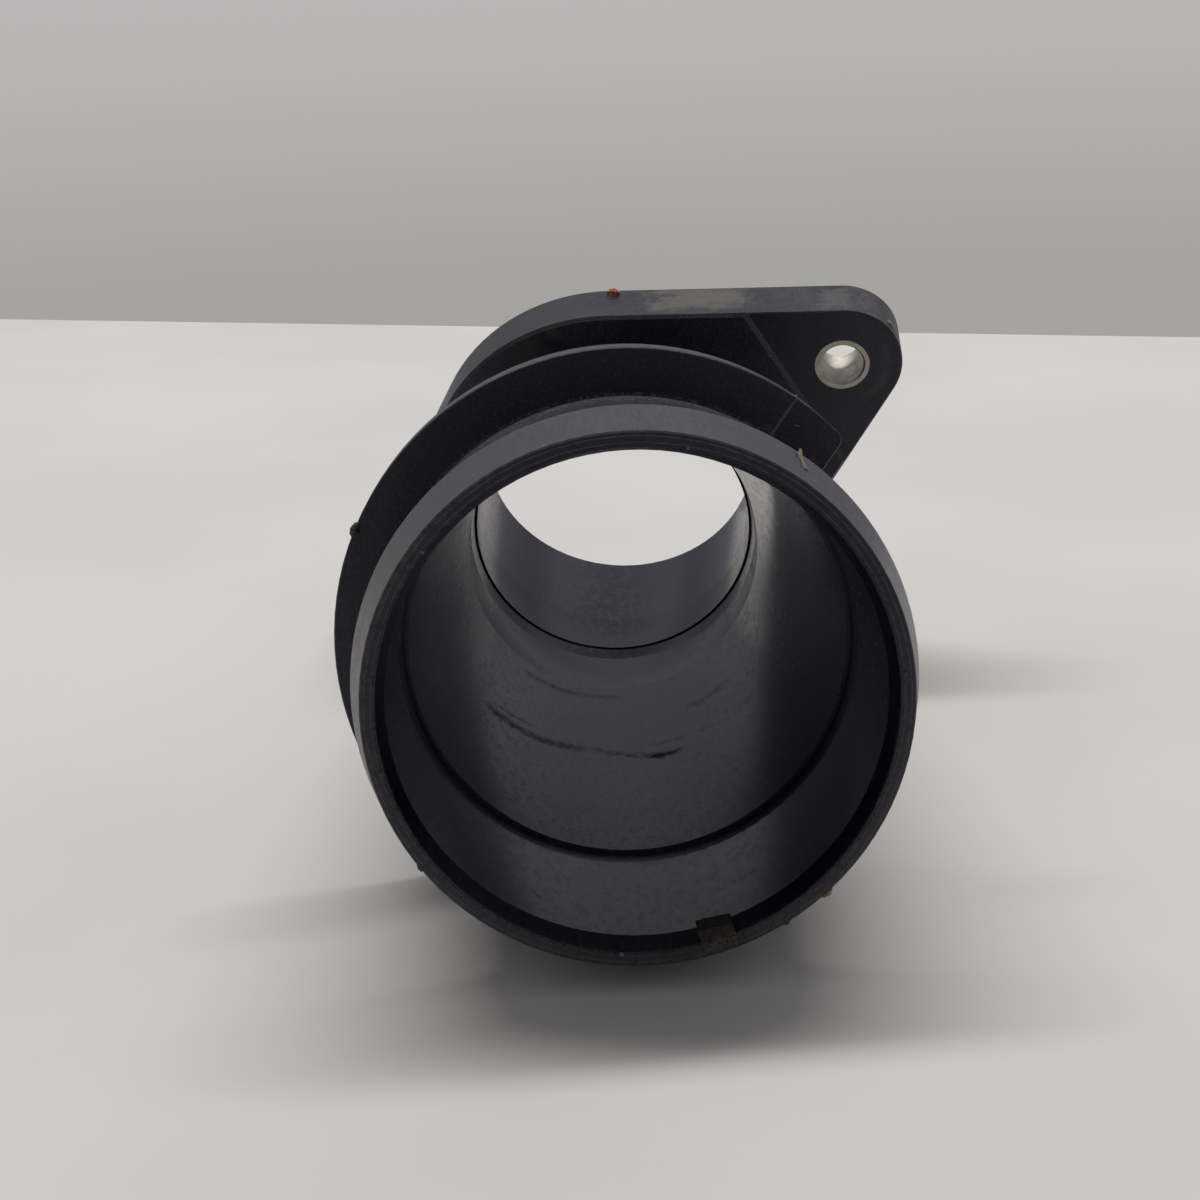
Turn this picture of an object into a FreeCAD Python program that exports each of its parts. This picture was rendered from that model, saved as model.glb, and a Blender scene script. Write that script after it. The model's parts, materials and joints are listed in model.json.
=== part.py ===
"""Moulded turbocharger pipe: hose mouth, trimmed collar, tapering tube, elbow and two-ear bolt flange."""
import FreeCAD
import Part
import math
import os
import Sketcher

from FreeCAD import Placement, Rotation, Vector

# Driving sizes, in millimetres and degrees. The pipe is drawn with its mouth at the origin, its front axis
# along +Y and its elbow turning up in the YZ plane, and then laid down as it rests on a table.
SIZES = [
    ("mouth_radius", 27.62, "inner edge of the flat mouth face"),
    ("mouth_taper", 0.77, "radial width of the lead-in taper"),
    ("mouth_taper_depth", 2.8, "depth of the lead-in taper"),
    ("mouth_face_width", 1.6, "width of the flat mouth face"),
    ("mouth_edge", 0.15, "chamfer outside the mouth face"),
    ("front_bore_depth", 26.3, "mouth to the first shoulder in the bore"),
    ("front_shoulder", 0.75, "height of the first shoulder"),
    ("neck_wall", 2.65, "wall of the neck that the hose slides over"),
    ("lip_height", 1.5, "hose lip over the neck"),
    ("lip_peak_depth", 7.6, "mouth to the highest ring of the lip"),
    ("lip_back_length", 2.2, "slope behind the lip"),
    ("lip_round", 0.8, "rounding of the lip"),
    ("collar_depth", 27.4, "mouth to the collar"),
    ("collar_thickness", 4.0, "collar along the pipe"),
    ("collar_height", 5.5, "collar over the neck"),
    ("collar_trim", 7.5, "mould parting plane to the collar's upper end, which passes it"),
    ("collar_short", 2.5, "mould parting plane to the collar's lower end, which stops before it"),
    ("collar_corner", 1.2, "rounding of the collar's two cut corners"),
    ("collar_edge", 0.15, "chamfer of the collar's rims"),
    ("parting_angle", 68.8, "mould parting plane about the front axis, from +X"),
    ("straight_length", 88.0, "mouth to the middle of the elbow"),
    ("elbow_angle", 23.3, "turn of the pipe at the elbow"),
    ("elbow_radius", 35.0, "bend radius of the elbow's axis"),
    ("seam_angle", 15.0, "start of the elbow to the shoulder in its bore"),
    ("seam_radius", 21.5, "bore in front of the elbow's shoulder"),
    ("seam_shoulder", 0.7, "height of the elbow's shoulder"),
    ("tube_wall", 2.7, "wall of the tube behind the collar"),
    ("rear_length", 24.3, "middle of the elbow to the sealing face"),
    ("rear_draft", 0.8, "widening of the bore from the elbow to the sealing face"),
    ("rear_edge", 0.5, "chamfer of the bore at the sealing face"),
    ("flange_thickness", 9.2, "flange, front face to sealing face"),
    ("flange_radius", 29.8, "round middle of the flange"),
    ("flange_edge", 0.5, "chamfer of the flange's edges"),
    ("flange_root", 1.2, "chamfer where the rear tube meets the flange"),
    ("bolt_distance", 40.8, "pipe axis to each bolt hole"),
    ("bolt_angle", 46.1, "line through both bolt holes, from +X"),
    ("ear_radius", 9.0, "rounding of each ear about its bolt hole"),
    ("ear_step", 0.3, "front face of each ear behind that of the flange's middle"),
    ("ear_step_distance", 32.4, "pipe axis to the slope down to each ear"),
    ("ear_step_slope", 70.0, "lean of that slope from the pipe's direction"),
    ("bush_radius", 4.1, "outside of the metal bush"),
    ("bush_wall", 0.9, "wall of the metal bush"),
    ("bush_gap", 0.02, "moulded fit between bush and ear"),
    ("bush_edge", 0.25, "chamfer at the ends of the bush's hole"),
    ("groove_inset", 2.5, "plastic between the bore and the seal groove"),
    ("groove_width", 3.0, "seal groove across"),
    ("groove_depth", 2.6, "seal groove deep"),
    ("seal_gap", 0.05, "seal to each side of its groove"),
    ("seal_stand", 0.6, "seal proud of the sealing face"),
    ("seal_slope", 1.0, "chamfer of the seal's bead"),
    ("gate_angle", 301.2, "stub of the moulding gate about the front axis, from +X"),
    ("gate_width", 3.7, "gate stub across"),
    ("gate_reach", 0.5, "gate stub into the bore"),
    ("gate_overlap", 1.0, "gate stub over the mouth face"),
    ("gate_depth", 2.6, "gate stub along the pipe"),
    ("gate_stand", 0.25, "gate stub proud of the mouth face"),
]

doc = FreeCAD.newDocument("turbocharger_pipe")
sheet = doc.addObject("Spreadsheet::Sheet", "sizes")
for row, (alias, value, note) in enumerate(SIZES, start=1):
    sheet.set(f"A{row}", alias)
    sheet.set(f"B{row}", str(value))
    sheet.set(f"C{row}", note)
    sheet.setAlias(f"B{row}", alias)
doc.recompute()

# Sizes that follow from the driving ones, as expressions on the sheet.
FRONT_BORE = "(sizes.mouth_radius - sizes.mouth_taper)"
MIDDLE_BORE = f"({FRONT_BORE} - sizes.front_shoulder)"
REAR_START = "(sizes.seam_radius - sizes.seam_shoulder)"
REAR_BORE = f"({REAR_START} + sizes.rear_draft)"
NECK = f"({FRONT_BORE} + sizes.neck_wall)"
LIP = f"({NECK} + sizes.lip_height)"
FACE = "(sizes.mouth_radius + sizes.mouth_face_width)"
COLLAR = f"({NECK} + sizes.collar_height)"
COLLAR_BACK = "(sizes.collar_depth + sizes.collar_thickness)"
TUBE_FRONT = f"({MIDDLE_BORE} + sizes.tube_wall)"
TUBE_REAR = "(sizes.seam_radius + sizes.tube_wall)"
TANGENT = "(sizes.elbow_radius * tan(sizes.elbow_angle * 1deg / 2))"
ELBOW_START = f"(sizes.straight_length - {TANGENT})"
GROOVE_IN = f"({REAR_BORE} + sizes.groove_inset)"
GROOVE_OUT = f"({GROOVE_IN} + sizes.groove_width)"

SAME = 0.01  # two places closer than this are taken as one
HALVINGS = 50  # steps in the search for the resting pose


def size(expression):
    """Number that an expression on the sheet stands for."""
    result = sheet.evalExpression(expression)
    return float(getattr(result, "Value", result))


def new_body(label):
    body = doc.addObject("PartDesign::Body", label)
    body.Label = label
    return body


def sketch(body, name, plane, lift=None, turn=None, axis=Vector(1, 0, 0)):
    """Sketch on one of the body's own planes, moved by expressions and turned about one axis."""
    item = body.newObject("Sketcher::SketchObject", name)
    support = [part for part in body.Origin.OriginFeatures if part.Role == plane][0]
    item.AttachmentSupport = [(support, "")]
    item.MapMode = "FlatFace"
    item.AttachmentOffset = Placement(Vector(), Rotation(axis, size(turn) if turn else 0))
    if turn:
        item.setExpression("AttachmentOffset.Rotation.Angle", turn)
    for letter, expression in (lift or {}).items():
        item.setExpression(f"AttachmentOffset.Base.{letter}", expression)
    return item


def across_front(body, name, depth="0", turn=None):
    """Sketch square to the front axis, seen from the mouth: x to the right, y up."""
    return sketch(body, name, "XZ_Plane", {"z": f"-({depth})"}, turn, Vector(0, 0, 1))


def across_rear(body, name, distance="sizes.rear_length"):
    """Sketch square to the rear axis, at a distance behind the middle of the elbow."""
    lift = {
        "y": f"({distance}) * sin(sizes.elbow_angle * 1deg)",
        "z": f"-(sizes.straight_length + ({distance}) * cos(sizes.elbow_angle * 1deg))",
    }
    return sketch(body, name, "XZ_Plane", lift, "sizes.elbow_angle", Vector(1, 0, 0))


def pin_point(item, edge, end, x, y):
    """Tie one end of an edge to a place that two expressions give."""
    for kind, axis, expression in (("DistanceX", -2, x), ("DistanceY", -1, y)):
        if expression == "0":
            item.addConstraint(Sketcher.Constraint("PointOnObject", edge, end, axis))
            continue
        row = item.addConstraint(Sketcher.Constraint(kind, -1, 1, edge, end, size(expression)))
        item.setExpression(f"Constraints[{row}]", expression)


def polygon(item, corners):
    """Closed outline of straight lines through corners given as pairs of expressions."""
    points = [Vector(size(x), size(y), 0) for x, y in corners]
    for i, point in enumerate(points):
        item.addGeometry(Part.LineSegment(point, points[(i + 1) % len(points)]), False)
    for i in range(len(points)):
        item.addConstraint(Sketcher.Constraint("Coincident", i, 2, (i + 1) % len(points), 1))
    for i, (x, y) in enumerate(corners):
        pin_point(item, i, 1, x, y)


def circle(item, radius, x="0", y="0"):
    """Circle whose radius and centre are expressions."""
    shape = Part.Circle(Vector(size(x), size(y), 0), Vector(0, 0, 1), size(radius))
    edge = item.addGeometry(shape, False)
    pin_point(item, edge, 3, x, y)
    row = item.addConstraint(Sketcher.Constraint("Radius", edge, size(radius)))
    item.setExpression(f"Constraints[{row}]", radius)


def bend_path(body, name, first, last):
    """Round path along the elbow's axis between two angles, each 0 or an expression."""
    path = sketch(body, name, "YZ_Plane")
    bend = size("sizes.elbow_radius")
    start = size(ELBOW_START)
    turns = [math.radians(size(angle)) - math.pi / 2 for angle in (first, last)]
    round_path = Part.Circle(Vector(start, bend, 0), Vector(0, 0, 1), bend)
    arc = path.addGeometry(Part.ArcOfCircle(round_path, *turns), False)
    pin_point(path, arc, 3, ELBOW_START, "sizes.elbow_radius")
    along = [f"({ELBOW_START} + sizes.elbow_radius * sin({angle} * 1deg))" for angle in (first, last)]
    rise = f"(sizes.elbow_radius * (1 - cos({first} * 1deg)))"
    pin_point(path, arc, 1, along[0], "0" if first == "0" else rise)
    row = path.addConstraint(Sketcher.Constraint("DistanceX", -1, 1, arc, 2, size(along[1])))
    path.setExpression(f"Constraints[{row}]", along[1])
    return path


def feature(body, kind, name, profile, **settings):
    """Feature made from a sketch; a setting that is text is an expression on the sheet."""
    item = body.newObject(f"PartDesign::{kind}", name)
    item.Profile = profile
    for key, value in settings.items():
        if isinstance(value, str) and value.startswith(("sizes.", "(")):
            item.setExpression(key, value)
        else:
            setattr(item, key, value)
    doc.recompute()
    return item


def dress(body, kind, name, base, pick, expression):
    """Fillet or chamfer on the edges of the body's last shape that pick() accepts."""
    names = [f"Edge{i}" for i, edge in enumerate(base.Shape.Edges, start=1) if pick(edge)]
    item = body.newObject(f"PartDesign::{kind}", name)
    item.Base = (base, names)
    item.setExpression("Radius" if kind == "Fillet" else "Size", expression)
    doc.recompute()
    return item


def rear_frame():
    """Centre of the sealing face and the direction of the rear axis."""
    turn = math.radians(size("sizes.elbow_angle"))
    axis = Vector(0, math.cos(turn), math.sin(turn))
    return Vector(0, size("sizes.straight_length"), 0) + axis * size("sizes.rear_length"), axis


def is_circle(edge, radius, centre=None):
    """Whole or part circle of this radius, about this centre when one is given."""
    curve = edge.Curve
    if not isinstance(curve, Part.Circle) or abs(curve.Radius - radius) > SAME:
        return False
    return centre is None or (curve.Center - centre).Length < SAME


def ear_centre(side):
    """Bolt hole in the sketch of the flange, as expressions; side is 1 or -1."""
    return (
        f"({side} * sizes.bolt_distance * cos(sizes.bolt_angle * 1deg))",
        f"({side} * sizes.bolt_distance * sin(sizes.bolt_angle * 1deg))",
    )


def ear_corners(side):
    """Rectangle over one ear in the sketch of the flange, from the ear's step outwards; side is 1 or -1."""
    near = "sizes.ear_step_distance"
    far = "(sizes.bolt_distance + 2 * sizes.ear_radius)"
    cosine = f"{side} * cos(sizes.bolt_angle * 1deg)"
    sine = f"{side} * sin(sizes.bolt_angle * 1deg)"
    corners = []
    for reach, across in ((near, -1), (far, -1), (far, 1), (near, 1)):
        wide = f"({across} * sizes.bolt_distance)"
        corners.append((f"({reach} * {cosine} - {wide} * {sine})", f"({reach} * {sine} + {wide} * {cosine})"))
    return corners


def flange_outline(item):
    """Round middle and two round ears, joined by tangent lines."""
    middle = size("sizes.flange_radius")
    ear = size("sizes.ear_radius")
    reach = size("sizes.bolt_distance")
    along = math.radians(size("sizes.bolt_angle"))
    lean = math.acos((middle - ear) / reach)

    def at(centre, radius, angle):
        return centre + Vector(math.cos(angle), math.sin(angle), 0) * radius

    corners = []
    for side in (0, 1):
        heading = along + side * math.pi
        hole = at(Vector(), reach, heading)
        corners.append((hole, ear, heading - lean, heading + lean))
        corners.append((Vector(), middle, heading + lean, heading + math.pi - lean))
    for centre, radius, start, end in corners:
        item.addGeometry(Part.ArcOfCircle(Part.Circle(centre, Vector(0, 0, 1), radius), start, end), False)
    for i, (centre, radius, start, end) in enumerate(corners):
        following = corners[(i + 1) % 4]
        begin = at(centre, radius, end)
        stop = at(following[0], following[1], following[2])
        item.addGeometry(Part.LineSegment(begin, stop), False)
    for i in range(4):
        item.addConstraint(Sketcher.Constraint("Tangent", i, 2, 4 + i, 1))
        item.addConstraint(Sketcher.Constraint("Tangent", 4 + i, 2, (i + 1) % 4, 1))
    for arc, side in ((0, 1), (2, -1)):
        pin_point(item, arc, 3, *ear_centre(side))
    for arc in (1, 3):
        item.addConstraint(Sketcher.Constraint("Coincident", arc, 3, -1, 1))
    for arc, alias in ((0, "ear_radius"), (1, "flange_radius"), (2, "ear_radius"), (3, "flange_radius")):
        row = item.addConstraint(Sketcher.Constraint("Radius", arc, size(f"sizes.{alias}")))
        item.setExpression(f"Constraints[{row}]", f"sizes.{alias}")


def make_pipe():
    """One moulding: mouth with lip, neck, trimmed collar, tapering tube, elbow, rear tube and flange."""
    body = new_body("pipe_body")

    # Flange, with its sealing face square to the rear axis.
    outline = across_rear(body, "flange_outline")
    flange_outline(outline)
    flange = feature(body, "Pad", "flange", outline, Length="sizes.flange_thickness")
    centre, rear_axis = rear_frame()
    thickness = size("sizes.flange_thickness")

    def is_rim(edge):
        ends = [abs((vertex.Point - centre).dot(rear_axis)) for vertex in edge.Vertexes]
        return max(ends) - min(ends) < SAME

    dress(body, "Chamfer", "flange_rims", flange, is_rim, "sizes.flange_edge")

    # Both ears stand a little back from the middle of the flange, down a slope across their roots.
    for side, name in ((1, "upper"), (-1, "lower")):
        step = across_rear(body, f"{name}_ear_step", "sizes.rear_length - sizes.flange_thickness")
        polygon(step, ear_corners(side))
        feature(body, "Pocket", f"{name}_ear_face", step, Length="sizes.ear_step",
                TaperAngle="(-sizes.ear_step_slope)")

    # Rear tube, which runs from the sealing face to the end of the elbow.
    tube_circle = across_rear(body, "rear_tube_circle")
    circle(tube_circle, TUBE_REAR)
    rear_tube = feature(body, "Pad", "rear_tube", tube_circle, Length=f"(sizes.rear_length - {TANGENT})")
    front_face = centre - rear_axis * thickness

    def is_root(edge):
        return is_circle(edge, size(TUBE_REAR), front_face)

    dress(body, "Chamfer", "flange_root_chamfer", rear_tube, is_root, "sizes.flange_root")

    # Elbow, bent upwards on a round path.
    elbow_circle = across_front(body, "elbow_circle", ELBOW_START)
    circle(elbow_circle, TUBE_REAR)
    path = bend_path(body, "elbow_path", "0", "sizes.elbow_angle")
    feature(body, "AdditivePipe", "elbow", elbow_circle, Spine=(path, ["Edge1"]))

    # Front skin, turned about the front axis from the mouth to the elbow.
    profile = sketch(body, "front_profile", "YZ_Plane")
    polygon(profile, [
        ("0", "0"),
        ("0", FACE),
        ("sizes.lip_peak_depth", LIP),
        ("(sizes.lip_peak_depth + sizes.lip_back_length)", NECK),
        (COLLAR_BACK, NECK),
        (COLLAR_BACK, TUBE_FRONT),
        (ELBOW_START, TUBE_REAR),
        (ELBOW_START, "0"),
    ])
    skin = feature(body, "Revolution", "front_skin", profile, ReferenceAxis=(profile, ["H_Axis"]), Angle=360)
    lip = dress(body, "Fillet", "lip_crest", skin, lambda edge: is_circle(edge, size(LIP)), "sizes.lip_round")
    dress(body, "Chamfer", "mouth_rim", lip, lambda edge: is_circle(edge, size(FACE)), "sizes.mouth_edge")

    # Collar ring over the top and the left side, both ends cut parallel to the mould's parting plane.
    plate = across_front(body, "collar_outline", "sizes.collar_depth", "sizes.parting_angle")
    reach = size(COLLAR)
    upper = -size("sizes.collar_trim")
    lower = size("sizes.collar_short")
    right = math.sqrt(reach ** 2 - upper ** 2)
    left = -math.sqrt(reach ** 2 - lower ** 2)
    around = Part.Circle(Vector(), Vector(0, 0, 1), reach)
    start, end = math.asin(upper / reach), math.pi - math.asin(lower / reach)
    plate.addGeometry(Part.ArcOfCircle(around, start, end), False)
    corners = [Vector(left, lower, 0), Vector(0, lower, 0), Vector(0, upper, 0), Vector(right, upper, 0)]
    for begin, stop in zip(corners, corners[1:]):
        plate.addGeometry(Part.LineSegment(begin, stop), False)
    plate.addConstraint(Sketcher.Constraint("Coincident", 0, 3, -1, 1))
    for edge in range(4):
        plate.addConstraint(Sketcher.Constraint("Coincident", edge, 2, (edge + 1) % 4, 1))
    plate.addConstraint(Sketcher.Constraint("Horizontal", 1))
    plate.addConstraint(Sketcher.Constraint("Horizontal", 3))
    pin_point(plate, 2, 1, "0", "sizes.collar_short")
    pin_point(plate, 2, 2, "0", "(-sizes.collar_trim)")
    row = plate.addConstraint(Sketcher.Constraint("Radius", 0, reach))
    plate.setExpression(f"Constraints[{row}]", COLLAR)
    collar = feature(body, "Pad", "collar", plate, Length="sizes.collar_thickness", Reversed=True)

    def is_cut_corner(edge):
        ends = [vertex.Point for vertex in edge.Vertexes]
        return (isinstance(edge.Curve, Part.Line) and len(ends) == 2
                and all(abs(math.hypot(point.x, point.z) - reach) < SAME for point in ends))

    corners = dress(body, "Fillet", "collar_corners", collar, is_cut_corner, "sizes.collar_corner")
    dress(body, "Chamfer", "collar_rims", corners, lambda edge: is_circle(edge, reach), "sizes.collar_edge")

    # Bore: parallel behind the tapered mouth, tapering to the elbow, round the bend with a shoulder in it,
    # and widening a little to the sealing face.
    mouth = sketch(body, "mouth_profile", "YZ_Plane")
    polygon(mouth, [
        ("0", "0"),
        ("0", "sizes.mouth_radius"),
        ("sizes.mouth_taper_depth", FRONT_BORE),
        ("sizes.front_bore_depth", FRONT_BORE),
        ("sizes.front_bore_depth", MIDDLE_BORE),
        (ELBOW_START, "sizes.seam_radius"),
        (ELBOW_START, "0"),
    ])
    feature(body, "Groove", "front_bore", mouth, ReferenceAxis=(mouth, ["H_Axis"]), Angle=360)
    core = across_front(body, "elbow_bore_circle", ELBOW_START)
    circle(core, "sizes.seam_radius")
    path = bend_path(body, "elbow_bore_path", "0", "sizes.seam_angle")
    feature(body, "SubtractivePipe", "elbow_bore", core, Spine=(path, ["Edge1"]))
    rear_start = across_rear(body, "rear_start", TANGENT)
    circle(rear_start, REAR_START)
    path = bend_path(body, "rear_bore_path", "sizes.seam_angle", "sizes.elbow_angle")
    feature(body, "SubtractivePipe", "rear_elbow_bore", rear_start, Spine=(path, ["Edge1"]))
    rear_end = across_rear(body, "rear_end")
    circle(rear_end, REAR_BORE)
    rear_bore = feature(body, "SubtractiveLoft", "rear_bore", rear_start, Sections=[rear_end], Ruled=True)

    def is_rear_edge(edge):
        return is_circle(edge, size(REAR_BORE), centre)

    dress(body, "Chamfer", "rear_bore_edge", rear_bore, is_rear_edge, "sizes.rear_edge")

    # Bolt holes and the groove for the seal.
    holes = across_rear(body, "bolt_circles")
    for side in (1, -1):
        circle(holes, "(sizes.bush_radius + sizes.bush_gap)", *ear_centre(side))
    feature(body, "Pocket", "bolt_holes", holes, Length="(2 * sizes.flange_thickness)", Reversed=True)
    ring = across_rear(body, "groove_ring")
    circle(ring, GROOVE_IN)
    circle(ring, GROOVE_OUT)
    feature(body, "Pocket", "seal_groove", ring, Length="sizes.groove_depth", Reversed=True)

    # Stub where the moulding gate was broken off.
    stub = across_front(body, "gate_outline", "-sizes.gate_stand", "sizes.gate_angle")
    inner = f"({FRONT_BORE} - sizes.gate_reach)"
    outer = "(sizes.mouth_radius + sizes.gate_overlap)"
    polygon(stub, [
        (inner, "(-sizes.gate_width / 2)"),
        (outer, "(-sizes.gate_width / 2)"),
        (outer, "(sizes.gate_width / 2)"),
        (inner, "(sizes.gate_width / 2)"),
    ])
    feature(body, "Pad", "gate_stub", stub, Length="(sizes.gate_depth + sizes.gate_stand)", Reversed=True)
    return body


def make_bush(label, side):
    """Metal bush that keeps the bolt from crushing one ear."""
    body = new_body(label)
    rings = across_rear(body, f"{label}_rings")
    circle(rings, "sizes.bush_radius", *ear_centre(side))
    circle(rings, "(sizes.bush_radius - sizes.bush_wall)", *ear_centre(side))
    tube = feature(body, "Pad", f"{label}_tube", rings, Length="(sizes.flange_thickness - sizes.ear_step)")
    hole = size("sizes.bush_radius - sizes.bush_wall")
    dress(body, "Chamfer", f"{label}_ends", tube, lambda edge: is_circle(edge, hole), "sizes.bush_edge")
    return body


def make_seal():
    """Rubber ring in the groove of the sealing face, with a sloped bead."""
    body = new_body("flange_seal")
    ring = across_rear(body, "seal_ring", "sizes.rear_length + sizes.seal_stand")
    inner = f"({GROOVE_IN} + sizes.seal_gap)"
    outer = f"({GROOVE_OUT} - sizes.seal_gap)"
    circle(ring, inner)
    circle(ring, outer)
    band = feature(body, "Pad", "seal_band", ring, Length="(sizes.groove_depth + sizes.seal_stand)")
    centre, rear_axis = rear_frame()
    top = centre + rear_axis * size("sizes.seal_stand")

    def is_bead(edge):
        return is_circle(edge, size(inner), top) or is_circle(edge, size(outer), top)

    dress(body, "Chamfer", "seal_bead", band, is_bead, "sizes.seal_slope")
    return body


def resting_turn():
    """Rotation that lays the pipe on the rear edge of its neck and on the flat lower edge of its flange."""
    centre, rear_axis = rear_frame()
    edge = size("sizes.flange_edge")
    lean = math.acos(size("sizes.flange_radius - sizes.ear_radius") / size("sizes.bolt_distance"))
    angle = math.radians(size("sizes.bolt_angle")) + math.pi + lean
    up = Vector(1, 0, 0).cross(rear_axis)
    outward = Vector(math.cos(angle), 0, 0) + up * math.sin(angle)
    corner = (centre - rear_axis * (size("sizes.flange_thickness") - edge)
              + outward * size("sizes.flange_radius"))

    def down(tip):
        return outward * math.cos(tip) - rear_axis * math.sin(tip)

    def flange_below_neck(tip):
        """How much lower the flange's edge lies than the neck when the pipe is tipped this far."""
        way = down(tip)
        return way.dot(corner) - size(NECK) * math.hypot(way.x, way.z) - size(COLLAR_BACK) * way.y

    steep, flat = 0.0, math.pi / 2
    for _ in range(HALVINGS):
        middle = (steep + flat) / 2
        if flange_below_neck(middle) > 0:
            steep = middle
        else:
            flat = middle
    up_axis = -down(steep)
    ahead = Vector(0, 1, 0) - up_axis * up_axis.y
    ahead.normalize()
    return Rotation(ahead.cross(up_axis), ahead, up_axis, "ZYX").inverted()


def lay_down(parts):
    """Place all parts at rest, with the origin under the middle of their common box."""
    turn = resting_turn()
    for body in parts:
        body.Placement = Placement(Vector(), turn)
    box = Part.makeCompound([body.Shape for body in parts]).optimalBoundingBox()
    shift = Vector(-(box.XMin + box.XMax) / 2, -(box.YMin + box.YMax) / 2, -box.ZMin)
    for body in parts:
        body.Placement = Placement(shift, turn)
    return Placement(shift, turn)


bodies = [make_pipe(), make_bush("upper_bush", 1), make_bush("lower_bush", -1), make_seal()]
rest = lay_down(bodies)
doc.recompute()

for item in doc.Objects:
    if "Invalid" in item.State or "Error" in item.State:
        raise RuntimeError(f"{item.Name} failed: {item.State}")
for body in bodies:
    if body.Shape.isNull() or not body.Shape.isValid():
        raise RuntimeError(f"{body.Label} has no valid shape")

os.makedirs("parts", exist_ok=True)
for body in bodies:
    body.Shape.exportStep(f"parts/{body.Label}.step")
    box = body.Shape.optimalBoundingBox()
    print(body.Label, "solids", len(body.Shape.Solids), "volume", round(body.Shape.Volume, 1),
          "box", [round(v, 3) for v in (box.XMin, box.YMin, box.ZMin, box.XMax, box.YMax, box.ZMax)])
seal_centre, rear_axis = rear_frame()
for name, point, way in (
    ("mouth", Vector(), Vector(0, 1, 0)),
    ("sealing face", seal_centre, rear_axis),
):
    print(name, [round(v, 3) for v in rest.multVec(point)], [round(v, 5) for v in rest.Rotation.multVec(way)])
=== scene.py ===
"""Moulded turbocharger pipe: finishes, dirt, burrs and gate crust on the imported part, with table and lamp."""

import json
import math

import bmesh
import bpy
from mathutils import Matrix, Vector, noise


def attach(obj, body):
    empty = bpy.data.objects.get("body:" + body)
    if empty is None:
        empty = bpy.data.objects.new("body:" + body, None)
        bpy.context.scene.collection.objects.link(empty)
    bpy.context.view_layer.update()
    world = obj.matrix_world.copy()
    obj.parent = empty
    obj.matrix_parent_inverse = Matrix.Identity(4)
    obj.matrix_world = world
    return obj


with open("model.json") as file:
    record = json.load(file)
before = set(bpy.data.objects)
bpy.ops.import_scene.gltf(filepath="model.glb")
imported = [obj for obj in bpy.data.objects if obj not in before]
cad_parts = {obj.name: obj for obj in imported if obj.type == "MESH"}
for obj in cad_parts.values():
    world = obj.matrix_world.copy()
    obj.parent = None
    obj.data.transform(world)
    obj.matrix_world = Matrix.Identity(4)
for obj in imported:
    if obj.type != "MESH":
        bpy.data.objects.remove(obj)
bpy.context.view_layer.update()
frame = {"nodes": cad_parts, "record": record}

MM = 0.001

# Sizes of the part in millimetres, from its mouth along the front axis and out from that axis.
MOUTH_RADIUS = 27.6
BORE_RADIUS = 26.85
LIP_END = 9.8
FIRST_SHOULDER = 26.3
COLLAR_FRONT = 27.4
COLLAR_BACK = 31.4
ELBOW_START = 80.8
ELBOW_RADIUS = 35.0
ELBOW_SHOULDER_TURN = 15.0
ELBOW_SHOULDER_RADIUS = 21.5
SPIGOT_DEPTH = 18.6
PARTING_ANGLE = 68.8
GATE_ANGLE = 301.2

# A surface nearer to the front axis than this limit is the bore's. Behind the first shoulder the limit
# shrinks by the taper for each millimetre.
BORE_LIMIT = 28.1
BORE_TAPER = 0.0765

# Sizes of the flange in millimetres, from its sealing face and out from its own axis.
FLANGE_THICKNESS = 9.2
FLANGE_RADIUS = 29.8
BOLT_DISTANCE = 40.8
BOLT_ANGLE = 46.1
EAR_RADIUS = 9.0

# Sections of the ramps in the bore: along the axis from the shoulder, and out from the bore's wall.
FRONT_RAMP = (
    (-2.6, 0.04), (-1.7, -0.06), (-0.8, -0.2), (-0.2, -0.33), (-0.02, -0.36), (-0.02, 0.6), (-2.6, 0.6),
)
ELBOW_RAMP = (
    (-3.6, 0.04), (-2.4, -0.08), (-1.2, -0.25), (-0.3, -0.42), (-0.02, -0.46), (-0.02, 0.7), (-3.6, 0.7),
)
RAMP_STEPS = 160
RAMP_CREASE = 40.0


class Space:
    """Right-handed frame of the part: sideways, along an axis and upwards, in millimetres from one point."""

    def __init__(self, origin, along, side):
        self.origin = origin
        self.along = along
        self.side = side
        self.rise = side.cross(along)

    def point(self, side, along, rise):
        """Place in the row frame, in metres."""
        return self.origin + (self.side * side + self.along * along + self.rise * rise) * MM

    def polar(self, angle, radius, along):
        """Place at an angle about the axis, from the side direction towards the rise."""
        turn = math.radians(angle)
        return self.point(radius * math.cos(turn), along, radius * math.sin(turn))

    def outward(self, angle):
        turn = math.radians(angle)
        return self.side * math.cos(turn) + self.rise * math.sin(turn)


mounts = {mount["name"]: mount for mount in frame["record"]["mounts"]}
front_axis = -Vector(mounts["hose_spigot"]["axis"]).normalized()
rear_axis = Vector(mounts["bolt_holes"]["axis"]).normalized()
across = front_axis.cross(rear_axis).normalized()
hose_end = Space(Vector(mounts["hose_spigot"]["pos_m"]) - front_axis * SPIGOT_DEPTH * MM, front_axis, across)
flange_end = Space(Vector(mounts["bolt_holes"]["pos_m"]), rear_axis, across)


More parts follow.
